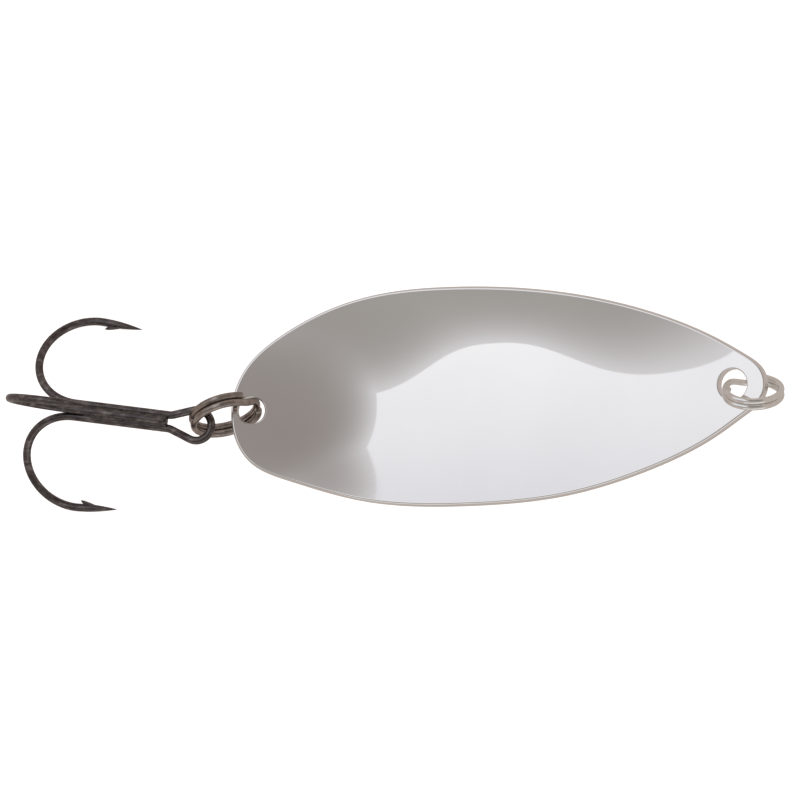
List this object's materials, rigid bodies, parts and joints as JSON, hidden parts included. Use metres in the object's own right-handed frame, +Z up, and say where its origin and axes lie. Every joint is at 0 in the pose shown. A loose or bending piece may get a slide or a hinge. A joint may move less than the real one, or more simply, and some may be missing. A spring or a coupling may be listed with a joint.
{
  "type": "spoon lure",
  "caption": "Fishing spoon: a cupped, S-bent mirror-bright metal blade with a split ring at each end and a dark treble hook that swings on the tail ring.",
  "frame": {"origin": "on the table, under the centre of the whole lure's box, with the lure lying cupped side up on the blade's belly and two hook bends", "axes": "+X along the blade's centre line from tail to nose, +Z up, out of the blade's cupped side, +Y to the left of the nose"},
  "size_m": [0.1072, 0.0304, 0.0225],
  "materials": {
    "blade_plating": "mirror-polished nickel plating over pressed metal",
    "bright_ring": "bright nickel-plated spring wire",
    "smoked_ring": "smoke-tinted nickel-plated spring wire",
    "black_nickel": "black nickel over carbon steel, glossy with small worn streaks",
    "braze": "braze under black nickel, bare at one small spot"
  },
  "bodies": {
    "blade": {"spoon_blade": "blade_plating"},
    "nose_ring": {"nose_split_ring": "bright_ring"},
    "tail_ring": {"tail_split_ring": "smoked_ring"},
    "treble_hook": {"hook_pair_wire": "black_nickel", "hook_single_wire": "black_nickel", "hook_braze": "braze"}
  },
  "joints": [
    {"name": "nose_ring_swing", "type": "hinge", "parent": "blade", "child": "nose_ring", "pos_m": [0.04975, -0.00061, 0.00461], "axis": [-0.1341, -0.8466, -0.515], "range_deg": [-85, 12]},
    {"name": "tail_ring_swing", "type": "hinge", "parent": "blade", "child": "tail_ring", "pos_m": [-0.02315, -0.00061, 0.00433], "axis": [0.281, -0.9193, 0.2756], "range_deg": [-3, 95]},
    {"name": "hook_swing", "type": "hinge", "parent": "tail_ring", "child": "treble_hook", "pos_m": [-0.02834, -0.00204, 0.00745], "axis": [0, 0, 1], "range_deg": [-75, 75]}
  ]
}
